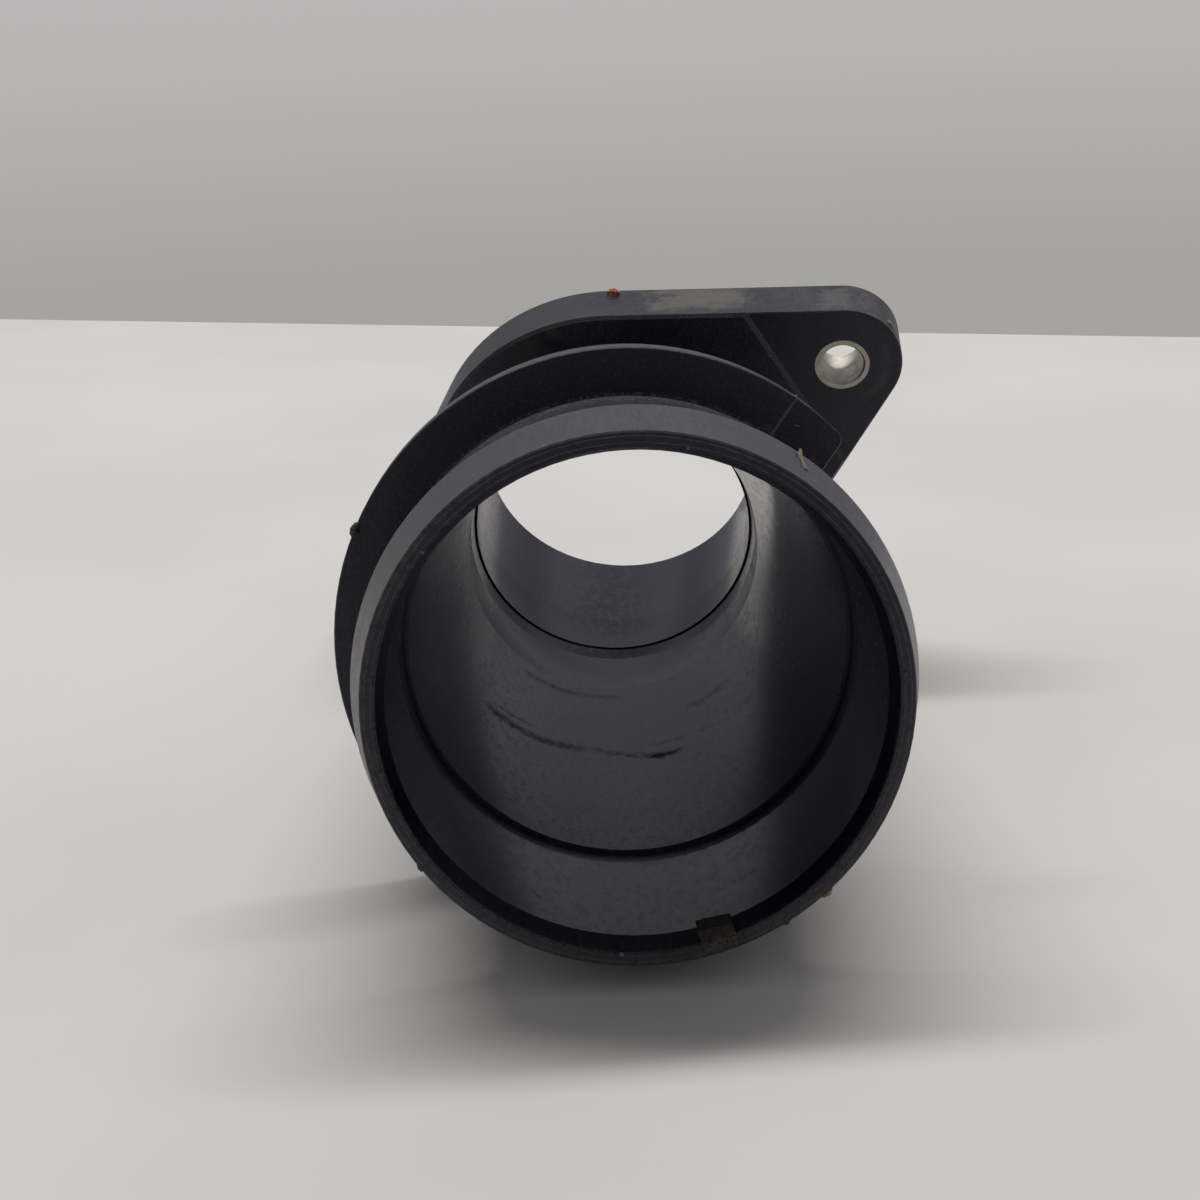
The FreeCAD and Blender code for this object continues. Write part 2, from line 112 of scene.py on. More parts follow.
class Value:
    """Socket of a material's nodes: arithmetic on it adds Math nodes, and node() adds any other."""

    def __init__(self, socket):
        self.socket = socket

    def node(self, kind, inputs, output=0, **settings):
        tree = self.socket.id_data
        made = tree.nodes.new("ShaderNode" + kind)
        for name, setting in settings.items():
            setattr(made, name, setting)
        for name, value in inputs.items():
            if isinstance(value, Value):
                tree.links.new(value.socket, made.inputs[name])
            else:
                made.inputs[name].default_value = value
        return Value(made.outputs[output])

    def math(self, operation, first, second=0.0):
        return self.node("Math", {0: first, 1: second}, operation=operation)

    def __add__(self, other):
        return self.math("ADD", self, other)

    def __radd__(self, other):
        return self.math("ADD", other, self)

    def __sub__(self, other):
        return self.math("SUBTRACT", self, other)

    def __rsub__(self, other):
        return self.math("SUBTRACT", other, self)

    def __mul__(self, other):
        return self.math("MULTIPLY", self, other)

    def __rmul__(self, other):
        return self.math("MULTIPLY", other, self)

    def __truediv__(self, other):
        return self.math("DIVIDE", self, other)

    def __abs__(self):
        return self.math("ABSOLUTE", self)

    def larger(self, other):
        return self.math("MAXIMUM", self, other)

    def smaller(self, other):
        return self.math("MINIMUM", self, other)

    def root(self):
        return self.math("SQRT", self)

    def rising(self, low, high):
        """Smooth step from 0 at low to 1 at high, or down again where low is the larger."""
        inputs = {"Value": self, "From Min": low, "From Max": high}
        return self.node("MapRange", inputs, interpolation_type="SMOOTHSTEP")

    def between(self, low, high, soft):
        """1 from low to high, fading to 0 over the soft width on both sides."""
        return self.rising(low - soft, low) * self.rising(high + soft, high)


def dot(place, way):
    return place.node("VectorMath", {0: place, 1: way}, 1, operation="DOT_PRODUCT")


def distance(first, second):
    return (first * first + second * second).root()


def grain(place, scale, detail=2.0, rough=0.5, stretch=(1, 1, 1)):
    """Noise from 0 to 1, with so many lumps a millimetre."""
    if stretch != (1, 1, 1):
        place = place.node("VectorMath", {0: place, 1: stretch}, operation="MULTIPLY")
    return place.node("TexNoise", {"Vector": place, "Scale": scale, "Detail": detail, "Roughness": rough})


def specks(place, scale, size):
    """Small round specks, so many cells a millimetre, of a size from 0 to 1 of a cell."""
    cells = place.node("TexVoronoi", {"Vector": place, "Scale": scale})
    return cells.rising(size, size * 0.4)


def mix(share, under, over):
    """Colour under, covered by colour over as far as share says."""
    return share.node("Mix", {0: share, 6: under, 7: over}, 2, data_type="RGBA")


def tint(red, green, blue):
    return (red, green, blue, 1.0)


class Finish:
    """Material with its Principled shader, ready for its colour, roughness and bump."""

    def __init__(self, name, **constants):
        self.material = bpy.data.materials.new(name)
        self.material.use_nodes = True
        tree = self.material.node_tree
        self.shader = tree.nodes["Principled BSDF"]
        for socket, value in constants.items():
            self.shader.inputs[socket.replace("_", " ")].default_value = value
        coordinates = tree.nodes.new("ShaderNodeTexCoord")
        self.place = Value(coordinates.outputs["Object"])

    def millimetres(self):
        """Place on the part in millimetres."""
        return self.place.node("VectorMath", {0: self.place, 3: 1 / MM}, operation="SCALE")

    def feed(self, socket, value):
        self.material.node_tree.links.new(value.socket, self.shader.inputs[socket])

    def relief(self, height):
        """Bump from a height in millimetres."""
        self.feed("Normal", height.node("Bump", {"Height": height, "Distance": MM, "Strength": 1.0}))


def coordinates_in(finish, space):
    """Place in one of the part's frames: sideways, along, upwards and out from the axis, in millimetres."""
    offset = finish.place.node("VectorMath", {0: finish.place, 1: space.origin}, operation="SUBTRACT")
    side = dot(offset, space.side) / MM
    along = dot(offset, space.along) / MM
    rise = dot(offset, space.rise) / MM
    return side, along, rise, distance(side, rise)


def around(side, rise, radius, angle, reach, soft):
    """1 within reach degrees of an angle about the axis, fading over the soft degrees outside it."""
    turn = math.radians(angle)
    facing = (side * math.cos(turn) + rise * math.sin(turn)) / radius
    return facing.rising(math.cos(math.radians(reach + soft)), math.cos(math.radians(reach)))


# Colours of the bare nylon, of the film, dust and dirt on it, and of the light and shade painted on it.
NYLON_DARK = tint(0.0078, 0.0080, 0.0150)
NYLON_LIGHT = tint(0.0106, 0.0108, 0.0182)
NYLON_MOTTLE = tint(0.022, 0.022, 0.031)
NYLON_CHIPPED = tint(0.0075, 0.0075, 0.010)
# Painted shade: darker and bluer nylon laid over the whole inside of the bore.
NYLON_PAINTED_BORE_SHADE = tint(0.0050, 0.0052, 0.0125)
# Painted light that lifts the shaded ledge of the first shoulder.
SHOULDER_LEDGE_PAINTED_LIGHT = tint(0.014, 0.012, 0.022)
SCUFF_BLACK = tint(0.006, 0.006, 0.008)
SETTLED_DUST = tint(0.10, 0.097, 0.09)
DUST_SPECK = tint(0.25, 0.24, 0.22)
MOUTH_GRIME = tint(0.072, 0.061, 0.049)
MOUTH_RING = tint(0.080, 0.077, 0.075)
# Partly rubbed wear and partly a painted highlight of the overhead light.
LIP_RUBBED_AND_LIT = tint(0.085, 0.085, 0.108)
LIP_GRIME = tint(0.115, 0.103, 0.083)
NECK_FILM = tint(0.070, 0.070, 0.080)
NECK_DOT = tint(0.17, 0.165, 0.165)
COLLAR_FILM = tint(0.045, 0.045, 0.055)
COLLAR_DUST = tint(0.085, 0.083, 0.085)
COLLAR_STAIN = tint(0.12, 0.080, 0.045)
BORE_FILM = tint(0.080, 0.080, 0.092)
BORE_BRUSHED = tint(0.075, 0.075, 0.083)
PARTING_BEIGE = tint(0.15, 0.13, 0.10)
EDGE_SMEAR = tint(0.19, 0.165, 0.12)
EDGE_PINK = tint(0.13, 0.085, 0.075)
FLANGE_FILM = tint(0.045, 0.038, 0.026)
FLANGE_SPOT = tint(0.080, 0.045, 0.028)
EAR_WORN = tint(0.075, 0.070, 0.045)

# Scuffs in the bore: depth, slant, middle and reach about the axis in degrees, width, strength.
SCUFFS = (
    (56.3, 0.20, 253.0, 15.0, 1.9, 0.9),
    (57.4, -0.33, 287.0, 9.0, 1.9, 0.75),
    (76.9, 0.05, 265.0, 16.0, 1.5, 0.7),
    (66.6, 0.0, 318.0, 5.0, 2.0, 0.45),
    (60.0, 0.25, 245.0, 3.0, 1.0, 0.5),
    (60.5, -0.25, 303.0, 8.0, 1.2, 0.3),
    (53.6, 0.0, 298.0, 0.6, 1.2, 1.0),
)


def scratches(place):
    """Fine scratches, thin and long."""
    drawn_out = grain(place, 1.1, 2.0, 0.5, (6.0, 0.5, 0.5))
    return abs(drawn_out - 0.5).rising(0.012, 0.0)


class Skin:
    """Surface of the moulding: its places and noises, and the colour, roughness and height laid on so far."""

    def __init__(self, finish):
        self.at_hose = side, along, rise, radius = coordinates_in(finish, hose_end)
        self.at_flange = _, flange_along, _, flange_radius = coordinates_in(finish, flange_end)
        self.place = finish.place.node("CombineXYZ", {0: side, 1: along, 2: rise})
        self.normal = finish.place.node("NewGeometry", {}, 1)
        self.upward = dot(self.normal, (0.0, 0.0, 1.0)).rising(0.1, 0.9)

        self.fine = grain(self.place, 5.0, 3.0, 0.6)
        self.medium = grain(self.place, 0.9, 4.0, 0.6)
        self.broad = grain(self.place, 0.12, 3.0, 0.55)
        self.drawn = grain(self.place, 1.4, 3.0, 0.6, (1.0, 0.25, 1.0))

        self.on_flange = flange_along.rising(-FLANGE_THICKNESS - 1.0, -FLANGE_THICKNESS - 0.2)
        self.in_front = along.rising(FIRST_SHOULDER + 0.6, FIRST_SHOULDER - 0.2)
        self.bore_limit = BORE_LIMIT - (along - FIRST_SHOULDER).larger(0.0) * BORE_TAPER
        inside = radius.rising(self.bore_limit + 0.3, self.bore_limit - 0.3) * along.rising(0.2, 0.6)
        self.inside = inside * (1 - self.on_flange * flange_radius.rising(22.5, 23.0))

        uneven = (self.medium - 0.5) * 0.12 + (self.fine - 0.5) * 0.08
        self.colour = mix(self.broad.rising(0.35, 0.7), NYLON_DARK, NYLON_LIGHT)
        self.roughness = 0.33 - self.inside * 0.12 + uneven * (1 - self.inside * 0.6)
        self.height = ((self.fine - 0.5) * 0.008 + (self.medium - 0.5) * 0.016) * (1 - self.inside * 0.8)
        self.height = self.height - scratches(self.place) * (1 - self.inside) * 0.015
        self.lay(self.medium.rising(0.5, 0.75) * (0.3 - self.inside * 0.2), NYLON_MOTTLE)

    def about(self, angle, reach, soft):
        """1 within reach degrees of an angle about the front axis."""
        side, _, rise, radius = self.at_hose
        return around(side, rise, radius, angle, reach, soft)

    def lay(self, share, colour):
        self.colour = mix(share, self.colour, colour)

    def roughen(self, amount):
        self.roughness = self.roughness + amount

    def lift(self, amount):
        self.height = self.height + amount


def settled_dust(skin):
    """Thin dust over all that faces up, and scattered specks of it."""
    place, outside = skin.place, 1 - skin.inside
    dust = skin.upward * (skin.broad * 0.5 + skin.medium * 0.5).rising(0.3, 0.7) * outside
    speck = specks(place, 0.42, 0.085) * grain(place, 0.3).rising(0.5, 0.62) * outside
    skin.lay(dust * 0.16, SETTLED_DUST)
    skin.lay(speck * 0.8, DUST_SPECK)
    skin.roughen(dust * 0.10 + speck * 0.3)


def mouth_face(skin):
    """Flat mouth face: brown-grey grime low down and at the sides, a chipped inner edge and turned rings."""
    _, along, _, radius = skin.at_hose
    fine, medium = skin.fine, skin.medium
    face = along.rising(0.35, 0.10) * radius.rising(26.5, 26.9)
    lower = skin.about(262.0, 100.0, 45.0)
    wavering = radius + (medium - 0.5) * 0.16
    grime = face * (medium * 0.5 + fine * 0.5).rising(0.40, 0.62) * (0.10 + lower * 0.90)
    grime = grime * (0.45 + wavering.rising(28.3, 28.9) * 0.55)
    chipped = face * radius.rising(28.4, 27.7) * grain(skin.place, 1.7, 3.0, 0.65).rising(0.50, 0.60)
    outer_ring = abs(wavering - 28.75).rising(0.14, 0.03)
    inner_ring = abs(wavering - 28.05).rising(0.11, 0.02)
    rings = face * outer_ring.larger(inner_ring) * medium.rising(0.3, 0.55)
    skin.lay(grime * 0.85, MOUTH_GRIME)
    skin.lay(chipped * 0.6, NYLON_CHIPPED)
    skin.lay(rings * 0.6, MOUTH_RING)
    skin.roughen(grime * 0.3 + face * 0.04)
    skin.lift(grime * (fine - 0.5) * 0.08 - chipped * 0.10 + rings * 0.03)


def hose_lip(skin):
    """Hose lip, painted a lighter grey along the pipe, partly rubbed wear and partly a painted highlight of the
    light from above, with beige grime on its sides and underneath.
    """
    _, along, _, radius = skin.at_hose
    drawn = skin.drawn - 0.5
    lip = along.between(0.35, LIP_END, 0.2) * radius.rising(28.9, 29.1)
    # Lighter grey over the whole lip: rubbed wear in streaks along the pipe, and a painted highlight of the
    # light from above.
    rubbed_and_lit = lip * (0.55 + drawn * 0.9)
    sides = lip * skin.about(262.0, 92.0, 36.0) * (0.5 + skin.fine * 0.7 + drawn * 0.8)
    skin.lay(rubbed_and_lit * 0.60, LIP_RUBBED_AND_LIT)
    skin.lay(sides * 0.50, LIP_GRIME)
    skin.roughen(lip * drawn * 0.2 + sides * 0.1)


def neck_dots(skin):
    """Neck under the hose: fine pale dots, more of them against the collar."""
    _, along, _, radius = skin.at_hose
    neck = along.between(LIP_END, COLLAR_FRONT, 0.3) * radius.rising(28.9, 29.3) * radius.rising(29.9, 29.6)
    dots = neck * grain(skin.place, 3.2, 2.0, 0.7).rising(0.46, 0.64)
    dots = dots * (0.15 + along.rising(18.0, 27.0) * 0.85)
    skin.lay(neck * (0.08 + along.rising(16.0, 27.0) * 0.17), NECK_FILM)
    skin.lay(dots * 0.75, NECK_DOT)
    skin.lift(dots * 0.02)


def collar_front(skin):
    """Front of the collar: fine dust in its grain, and two small brown stains near the lip."""
    _, along, _, radius = skin.at_hose
    place = skin.place
    collar = along.between(COLLAR_FRONT - 0.15, COLLAR_FRONT + 0.15, 0.1) * radius.rising(29.6, 30.0)
    dusty = collar * (grain(place, 4.0, 2.0, 0.7).rising(0.50, 0.66) * 0.5 + specks(place, 1.1, 0.16) * 0.8)
    skin.lay(collar * 0.12, COLLAR_FILM)
    skin.lay(dusty * 0.55, COLLAR_DUST)
    for angle, out in ((70.0, 30.1), (57.5, 30.5)):
        stain = collar * skin.about(angle, 0.4, 1.3) * abs(radius - out).rising(0.7, 0.1)
        skin.lay(stain * skin.medium.rising(0.3, 0.55) * 0.45, COLLAR_STAIN)


def bore_wall(skin):
    """Bore: darkened all over by painted shade, with a greyish film and brushed grain at the bottom, a painted
    highlight on the front shoulder's ledge, and scuffs across it from a probe or hose end.
    """
    side, along, _, _ = skin.at_hose
    place, inside = skin.place, skin.inside
    bottom = inside * skin.about(268.0, 26.0, 26.0)
    film = bottom * (0.35 + grain(place, 2.6, 3.0, 0.7) * 0.9)
    behind_step = along.rising(FIRST_SHOULDER, FIRST_SHOULDER + 7.0)
    step = inside * dot(skin.normal, front_axis).rising(-0.6, -0.9)
    mottle = grain(place, 1.1, 4.0, 0.62, (1.0, 0.45, 1.0))
    blotches = mottle.rising(0.40, 0.66)
    brushed = grain(place, 2.4, 4.0, 0.75, (0.5, 1.0, 0.5)).rising(0.44, 0.62)
    skin.lay(film * (behind_step * 0.04 + skin.in_front * 0.54), BORE_FILM)
    # Painted light: the first shoulder's ledge faces the mouth and lies in shade, and is lightened so that its
    # dark line stays thin.
    skin.lay(step * along.rising(60.0, 50.0), SHOULDER_LEDGE_PAINTED_LIGHT)
    # Painted shade: the whole bore is darkened and made bluer, as if it lay in its own shadow.
    skin.lay(inside * 0.45, NYLON_PAINTED_BORE_SHADE)
    skin.lay(bottom * (blotches * 0.12 + brushed * 0.10), BORE_BRUSHED)
    skin.roughen(inside * (blotches - 0.4) * 0.10)
    skin.roughen(bottom * along.rising(82.0, 74.0) * (0.50 - brushed) * (0.11 - skin.in_front * 0.05))
    sway = (grain(place, 0.10, 2.0, 0.5) - 0.5) + (mottle - 0.5) * 1.4
    for depth, slant, middle, reach, width, strength in SCUFFS:
        scuff = abs(along + sway - side * slant - depth).rising(width, 0.0)
        scuff = scuff * skin.about(middle, reach, 7.0) * inside * skin.medium.rising(0.15, 0.65) * strength
        skin.lay(scuff * 0.75, SCUFF_BLACK)
        skin.roughen(scuff * 0.38)


def parting_line(skin):
    """Parting line of the mould across lip, neck, collar and tube, beige where it crosses the collar."""
    side, along, rise, radius = skin.at_hose
    turn = math.radians(PARTING_ANGLE)
    off_plane = abs(side * math.sin(turn) - rise * math.cos(turn) + (skin.medium - 0.5) * 0.15)
    outside = radius.rising(skin.bore_limit + 0.5, skin.bore_limit + 0.9)
    outside = outside * along.rising(ELBOW_START, ELBOW_START - 6.0)
    line = off_plane.rising(0.20, 0.08) * outside * along.rising(0.1, 0.5)
    upper = (side * math.cos(turn) + rise * math.sin(turn)).rising(0.0, 5.0)
    on_collar = along.between(COLLAR_FRONT - 0.2, COLLAR_BACK, 0.2) * radius.rising(29.4, 29.9)
    skin.lay(line * upper * on_collar * skin.medium.rising(0.2, 0.5) * 0.7, PARTING_BEIGE)
    skin.lift(line * 0.06)


def flange_dirt(skin):
    """Flange: beige and pink smears on its upper edge, and film, a spot and a worn arc on its front face."""
    side, along, rise, radius = skin.at_flange
    medium = skin.medium
    edge_band = skin.on_flange * along.rising(-FLANGE_THICKNESS + 0.2, -FLANGE_THICKNESS + 0.8)
    top_edge = edge_band * skin.upward * radius.rising(27.0, 28.0)
    front_face = skin.on_flange * (1 - edge_band)

    streaks = grain(skin.place, 0.35, 4.0, 0.6, (0.5, 1.6, 1.0))
    for centre, reach, middle, share in ((5.5, 9.0, -3.6, 0.40), (25.0, 3.0, -4.6, 0.22)):
        away = (abs(side - centre) / reach).larger(abs(along - middle) / 4.5)
        smear = top_edge * (streaks * 1.1 + medium * 0.5 + 0.25 - away * 0.75).rising(0.30, 0.85)
        skin.lay(smear * share, EDGE_SMEAR)
        skin.roughen(smear * 0.15)
    pink = top_edge * abs(side - 30.0).rising(2.6, 0.6) * medium.rising(0.3, 0.65)
    skin.lay(pink * 0.4, EDGE_PINK)

    film = front_face * side.rising(-2.0, -20.0) * skin.broad.rising(0.3, 0.6)
    spot = distance(side + 15.4, rise - 24.3) + (medium - 0.5) * 1.8
    bolt = math.radians(BOLT_ANGLE)
    to_hole = distance(side - BOLT_DISTANCE * math.cos(bolt), rise - BOLT_DISTANCE * math.sin(bolt))
    worn = abs(to_hole - 6.6).rising(1.1, 0.2) * side.rising(32.0, 34.0) * medium.rising(0.35, 0.6)
    skin.lay(film * 0.5, FLANGE_FILM)
    skin.lay(front_face * spot.rising(1.8, 0.4) * 0.5, FLANGE_SPOT)
    skin.lay(front_face * worn * 0.35, EAR_WORN)


def moulding_finish():
    """Black glass-filled nylon as moulded: dust, stains, scuffs, a dirty mouth, and painted light and shade."""
    finish = Finish("moulding_black_nylon", Specular_IOR_Level=0.45, Specular_Tint=tint(0.88, 0.88, 1.0))
    skin = Skin(finish)
    settled_dust(skin)
    mouth_face(skin)
    hose_lip(skin)
    neck_dots(skin)
    collar_front(skin)
    bore_wall(skin)
    parting_line(skin)
    flange_dirt(skin)
    finish.feed("Base Color", skin.colour)
    finish.feed("Roughness", skin.roughness.larger(0.2).smaller(0.95))
    finish.relief(skin.height)
    return finish.material


def steel_finish():
    """Dull rolled steel with a yellowish tarnish and dark pits."""
    finish = Finish("bush_dull_steel", Metallic=1.0)
    place = finish.millimetres()
    cloud = grain(place, 0.7, 4.0, 0.6)
    pits = grain(place, 4.0, 3.0, 0.7)
    colour = mix(cloud.rising(0.35, 0.65), tint(0.54, 0.515, 0.465), tint(0.45, 0.41, 0.34))
    colour = mix(pits.rising(0.6, 0.72) * 0.6, colour, tint(0.12, 0.10, 0.08))
    finish.feed("Base Color", colour)
    finish.feed("Roughness", 0.38 + cloud * 0.2 + pits * 0.1)
    finish.relief((pits - 0.5) * 0.03)
    return finish.material


def rubber_finish():
    """Matt black seal rubber, a little chalky."""
    finish = Finish("seal_black_rubber", Specular_IOR_Level=0.3)
    place = finish.millimetres()
    cloud = grain(place, 0.5, 4.0, 0.6)
    fine = grain(place, 6.0, 2.0, 0.6)
    colour = mix(cloud.rising(0.4, 0.7), tint(0.016, 0.016, 0.016), tint(0.030, 0.030, 0.029))
    finish.feed("Base Color", colour)
    finish.feed("Roughness", 0.62 + cloud * 0.15 + fine * 0.1)
    finish.relief((fine - 0.5) * 0.02)
    return finish.material


def torn_finish():
    """Brown-grey torn nylon with dark pits, darker inside the bore, where the gate was broken off."""
    finish = Finish("gate_torn_nylon", Specular_IOR_Level=0.3)
    _, _, _, radius = coordinates_in(finish, hose_end)
    place = finish.millimetres()
    cloud = grain(place, 0.8, 3.0, 0.6)
    pits = grain(place, 3.6, 3.0, 0.75)
    colour = mix(cloud.rising(0.35, 0.65), tint(0.060, 0.053, 0.043), tint(0.105, 0.092, 0.072))
    colour = mix(pits.rising(0.50, 0.40), colour, tint(0.012, 0.011, 0.010))
    colour = mix(pits.rising(0.60, 0.70) * 0.7, colour, tint(0.17, 0.15, 0.12))
    colour = mix((radius + (cloud - 0.5) * 1.5).rising(27.9, 27.0) * 0.7, colour, tint(0.014, 0.013, 0.013))
    finish.feed("Base Color", colour)
    finish.feed("Roughness", 0.75 + cloud * 0.2)
    finish.relief((pits - 0.5) * 0.15)
    return finish.material


def crumb_finish(name, dark, light):
    """Dry crumb in two tones."""
    finish = Finish(name, Specular_IOR_Level=0.3)
    place = finish.millimetres()
    cloud = grain(place, 1.8, 4.0, 0.65)
    finish.feed("Base Color", mix(cloud.rising(0.35, 0.65), dark, light))
    finish.feed("Roughness", 0.65 + cloud * 0.25)
    finish.relief((cloud - 0.5) * 0.2)
    return finish.material


def table_finish():
    """Pale matt table top."""
    finish = Finish("table_pale_laminate", Specular_IOR_Level=0.3)
    place = finish.millimetres()
    cloud = grain(place, 0.01, 3.0, 0.5)
    colour = mix(cloud.rising(0.3, 0.7), tint(0.62, 0.60, 0.565), tint(0.66, 0.64, 0.61))
    finish.feed("Base Color", colour)
    finish.feed("Roughness", 0.55 + cloud * 0.1)
    return finish.material


def table_top():
    """Table whose far edge runs a little askew behind the pipe, as in the photograph."""
    left, right, near, far, askew = -2.0, 1.0, -0.42, 0.333, 0.308
    far_corners = [(end, far - askew * end, 0) for end in (right, left)]
    mesh = bpy.data.meshes.new("table_top")
    mesh.from_pydata([(left, near, 0), (right, near, 0), *far_corners], [], [(0, 1, 2, 3)])
    table = bpy.data.objects.new("table_top", mesh)
    bpy.context.scene.collection.objects.link(table)
    mesh.materials.append(table_finish())


def moulded_piece(name, shape, material):
    """Smooth mesh from a shape already in place; it rides on the part and takes the material it is given."""
    bmesh.ops.recalc_face_normals(shape, faces=shape.faces)
    mesh = bpy.data.meshes.new(name)
    shape.to_mesh(mesh)
    shape.free()
    mesh.materials.append(material)
    for face in mesh.polygons:
        face.use_smooth = True
    made = bpy.data.objects.new(name, mesh)
    bpy.context.scene.collection.objects.link(made)
    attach(made, "root")
    return made


def rough_piece(name, shape, seat, swell, scale, material):
    """Piece from a shape in local millimetres, roughened outwards by noise and then seated on the part."""
    for vertex in shape.verts:
        spot = vertex.co * scale
        bulge = noise.fractal(spot, 0.6, 2.1, 4) + 0.35 * noise.noise(spot * 4.3)
        vertex.co += vertex.normal * bulge * swell
    for vertex in shape.verts:
        vertex.co = seat(vertex.co)
    moulded_piece(name, shape, material)


def gate_crust(material):
    """Torn skin of the gate stub, over its front, its sides and its top inside the bore."""
    inner, outer = BORE_RADIUS - 0.80, MOUTH_RADIUS + 1.05
    front, back, half_width = -0.30, 2.66, 1.90
    cuts, lean_share = 27, 0.10
    shape = bmesh.new()
    bmesh.ops.create_cube(shape, size=1.0)
    bmesh.ops.subdivide_edges(shape, edges=shape.edges[:], cuts=cuts, use_grid_fill=True)
    bmesh.ops.scale(shape, vec=(2 * half_width, back - front, outer - inner), verts=shape.verts)
    outward = hose_end.outward(GATE_ANGLE)
    sideways = hose_end.along.cross(outward)
    centre = hose_end.polar(GATE_ANGLE, (inner + outer) / 2, (front + back) / 2)

    def seat(point):
        lean = lean_share * point.x * (0.5 - point.z / (outer - inner))
        return centre + (sideways * point.x + hose_end.along * point.y + outward * (point.z - lean)) * MM

    shape.normal_update()
    rough_piece("gate_crust", shape, seat, swell=0.08, scale=1.9, material=material)


def shoulder_ramp(name, centre, along, rise, radius, section, material):
    """Shallow ramp in the bore that leads up to a shoulder, a ring with its back sunk in the wall."""
    shape = bmesh.new()
    rings = []
    for step in range(RAMP_STEPS):
        angle = 2 * math.pi * step / RAMP_STEPS
        outward = hose_end.side * math.cos(angle) + rise * math.sin(angle)
        places = [centre + (along * back + outward * (radius + out)) * MM for back, out in section]
        rings.append([shape.verts.new(place) for place in places])
    for step in range(RAMP_STEPS):
        ring, following = rings[step], rings[(step + 1) % RAMP_STEPS]
        for corner in range(len(section)):
            beyond = (corner + 1) % len(section)
            shape.faces.new((ring[corner], ring[beyond], following[beyond], following[corner]))
    made = moulded_piece(name, shape, material)
    made.data.set_sharp_from_angle(angle=math.radians(RAMP_CREASE))


def shoulder_ramps(material):
    """Ramps in front of the shoulder behind the hose end and of the one in the elbow."""
    along, rise = hose_end.along, hose_end.rise
    centre = hose_end.point(0.0, FIRST_SHOULDER, 0.0)
    shoulder_ramp("front_shoulder_ramp", centre, along, rise, BORE_RADIUS, FRONT_RAMP, material)
    turn = math.radians(ELBOW_SHOULDER_TURN)
    depth = ELBOW_START + ELBOW_RADIUS * math.sin(turn)
    centre = hose_end.point(0.0, depth, ELBOW_RADIUS * (1 - math.cos(turn)))
    turned_along = along * math.cos(turn) + rise * math.sin(turn)
    turned_rise = rise * math.cos(turn) - along * math.sin(turn)
    shoulder_ramp("elbow_shoulder_ramp", centre, turned_along, turned_rise, ELBOW_SHOULDER_RADIUS, ELBOW_RAMP,
                  material)


def crumb(name, centre, outward, along, size, seed, material):
    """Irregular crumb or burr, half sunk in a surface: length, width and height in millimetres.

    The seed shifts it through the noise, so that no two are alike.
    """
    shape = bmesh.new()
    bmesh.ops.create_icosphere(shape, subdivisions=4, radius=0.5)
    sideways = along.cross(outward).normalized()
    length, width, height = size
    shift = Vector((seed, 0.0, 0.0))

    def seat(point):
        place = point - shift
        return centre + (along * place.x + sideways * place.y + outward * place.z) * MM

    for vertex in shape.verts:
        round_place = vertex.co.copy()
        vertex.co = Vector((round_place.x * length, round_place.y * width, round_place.z * height)) + shift
    shape.normal_update()
    rough_piece(name, shape, seat, 0.22 * min(size), 1.6 / max(0.4, min(size)), material)


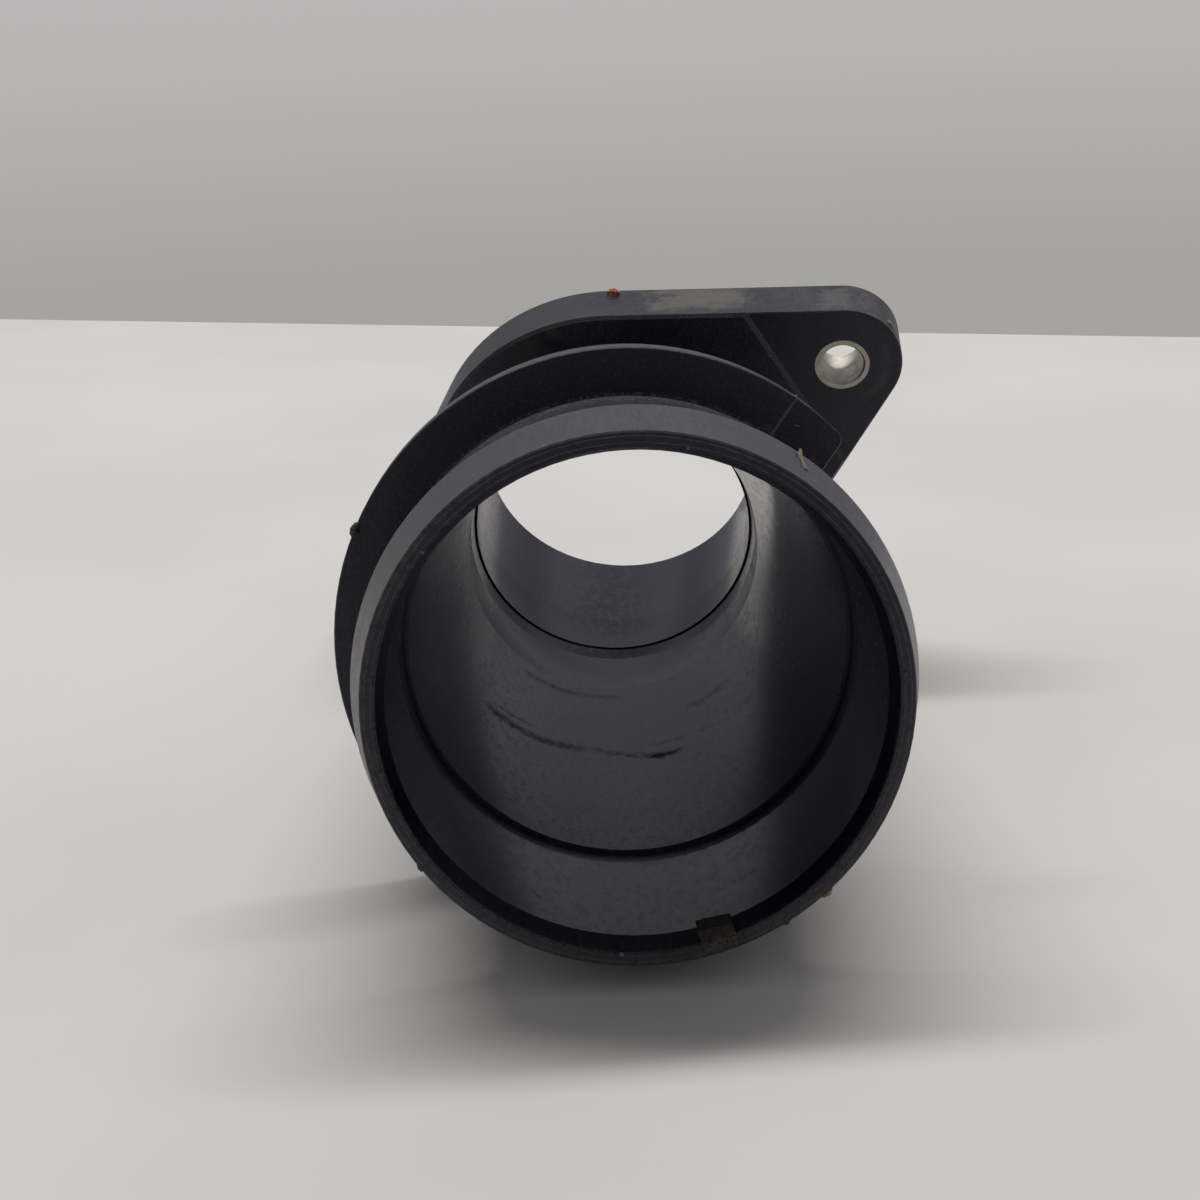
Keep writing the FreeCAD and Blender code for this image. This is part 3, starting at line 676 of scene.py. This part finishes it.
def burrs(grey, beige, orange):
    """Moulding burrs and crumbs where the photograph shows them."""
    along = hose_end.along
    for name, angle, radius, depth, size, seed, material in (
        ("collar_burr_left", 169.5, 34.9, 27.5, (1.1, 1.9, 1.1), 3.0, grey),
        ("collar_burr_parting", 69.0, 35.0, 27.5, (0.5, 0.35, 0.5), 7.0, beige),
        ("rim_burr_low_left", 230.0, 29.3, 0.7, (1.0, 1.0, 0.6), 19.0, grey),
        ("rim_burr_low_right", 326.7, 29.4, 0.7, (1.1, 1.5, 0.8), 23.0, beige),
        ("rim_burr_bottom_right", 316.0, 29.4, 0.7, (0.8, 0.8, 0.5), 27.0, grey),
        ("rim_crumb_bottom", 279.0, 27.9, 0.05, (0.4, 0.6, 0.4), 31.0, beige),
        ("rim_crumb_right", 20.0, 28.1, 0.05, (0.5, 0.8, 0.4), 35.0, grey),
        ("rim_crumb_left", 160.0, 28.3, 0.05, (0.5, 0.9, 0.4), 39.0, grey),
    ):
        place = hose_end.polar(angle, radius, depth)
        crumb(name, place, hose_end.outward(angle), along, size, seed, material)
    for name, first, last, thick, seed in (
        ("lip_burr_stem", (67.6, 30.15, 3.9), (68.7, 30.85, 7.0), 0.36, 11.0),
        ("lip_burr_tip", (68.6, 30.75, 6.6), (68.9, 31.25, 7.9), 0.42, 12.0),
        ("lip_burr_arm", (68.4, 30.50, 5.3), (69.5, 30.90, 6.6), 0.28, 15.0),
        ("lip_burr_foot", (68.1, 30.35, 4.8), (67.1, 30.15, 3.7), 0.26, 17.0),
    ):
        start, end = hose_end.polar(*first), hose_end.polar(*last)
        way = (end - start).normalized()
        outward = hose_end.outward(first[0])
        outward = (outward - way * outward.dot(way)).normalized()
        size = ((end - start).length / MM + 0.4, thick, thick)
        crumb(name, (start + end) / 2, outward, way, size, seed, beige)
    place = hose_end.polar(65.4, 32.4, COLLAR_FRONT)
    crumb("collar_scratch", place, along, hose_end.side, (0.6, 0.12, 0.12), 21.0, beige)

    bolt = math.radians(BOLT_ANGLE)
    lean = math.acos((FLANGE_RADIUS - EAR_RADIUS) / BOLT_DISTANCE)
    upper_flat = flange_end.side * math.cos(bolt + lean) + flange_end.rise * math.sin(bolt + lean)
    place = flange_end.point(-7.3, -1.6, 28.9)
    crumb("rim_crumb_orange", place, upper_flat, flange_end.side, (2.0, 1.8, 1.6), 43.0, orange)

    # The last burr is on the ear's round edge, in this direction from the middle of its hole.
    hole = Vector((math.cos(bolt), math.sin(bolt))) * BOLT_DISTANCE
    away = (Vector((34.97, 38.14)) - hole).normalized()
    edge = hole + away * EAR_RADIUS
    outward = flange_end.side * away.x + flange_end.rise * away.y
    place = flange_end.point(edge.x, -6.5, edge.y)
    crumb("ear_burr", place, outward, outward.cross(flange_end.along), (1.5, 1.2, 0.5), 47.0, beige)


def lamp(name, place, aim, width, depth, watts):
    """Long soft lamp that points at a place."""
    light = bpy.data.lights.new(name, "AREA")
    light.shape = "RECTANGLE"
    light.size = width
    light.size_y = depth
    light.energy = watts
    made = bpy.data.objects.new(name, light)
    made.location = place
    made.rotation_euler = (Vector(aim) - Vector(place)).to_track_quat("-Z", "Y").to_euler()
    bpy.context.scene.collection.objects.link(made)


def room():
    """Room with its pale wall behind the pipe and its dim side in front, seen by the camera as that wall."""
    world = bpy.data.worlds.new("room")
    world.use_nodes = True
    bpy.context.scene.world = world
    tree = world.node_tree
    direction = Value(tree.nodes.new("ShaderNodeTexCoord").outputs["Generated"])
    seen = Value(tree.nodes.new("ShaderNodeLightPath").outputs["Is Camera Ray"])
    height = dot(direction, (0.0, 0.0, 1.0))
    towards_wall = dot(direction, (0.0, 1.0, 0.0)).rising(-0.4, 0.7) * height.rising(0.95, 0.5)
    wall_light = mix(height.rising(0.35, 0.7), tint(0.33, 0.33, 0.35), tint(0.72, 0.72, 0.74))
    light = mix(towards_wall, tint(0.21, 0.21, 0.22), wall_light)
    wall = mix(height.rising(-0.17, 0.0), tint(0.375, 0.368, 0.35), tint(0.50, 0.462, 0.47))
    tree.links.new(mix(seen, light, wall).socket, tree.nodes["Background"].inputs["Color"])


def camera():
    """Camera in front of the mouth, a little above it and to its left, in the hose end's frame."""
    data = bpy.data.cameras.new("camera")
    data.lens = 54.0
    data.sensor_width = 36.0
    data.clip_start = 0.01
    made = bpy.data.objects.new("camera", data)
    bpy.context.scene.collection.objects.link(made)
    eye = hose_end.point(-20.654, -180.41, 51.77)
    ahead = (hose_end.side * 0.076152 + hose_end.along * 0.971983 - hose_end.rise * 0.222372).normalized()
    right = hose_end.side * 0.975502 - hose_end.along * 0.026463 + hose_end.rise * 0.218395
    up = right.cross(ahead).normalized()
    right = ahead.cross(up)
    made.matrix_world = Matrix.Translation(eye) @ Matrix((right, up, -ahead)).transposed().to_4x4()
    bpy.context.scene.camera = made


def finish_nodes(moulding, rubber, steel):
    """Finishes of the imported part's own pieces."""
    finishes = {"pipe_body": moulding, "flange_seal": rubber, "upper_bush": steel, "lower_bush": steel}
    for name, material in finishes.items():
        frame["nodes"][name].data.materials[0] = material


camera()
room()
lamp("long_lamp", place=(-0.02, 0.33, 1.2), aim=(0.0, 0.0, 0.0), width=1.44, depth=0.10, watts=13.6)
table_top()
moulding = moulding_finish()
finish_nodes(moulding, rubber_finish(), steel_finish())
gate_crust(torn_finish())
shoulder_ramps(moulding)
burrs(
    crumb_finish("burr_grey_nylon", tint(0.030, 0.029, 0.027), tint(0.10, 0.093, 0.080)),
    crumb_finish("burr_beige_nylon", tint(0.10, 0.085, 0.066), tint(0.26, 0.225, 0.18)),
    crumb_finish("crumb_orange_rust", tint(0.16, 0.05, 0.022), tint(0.40, 0.15, 0.07)),
)

bpy.context.scene.view_settings.view_transform = "Standard"
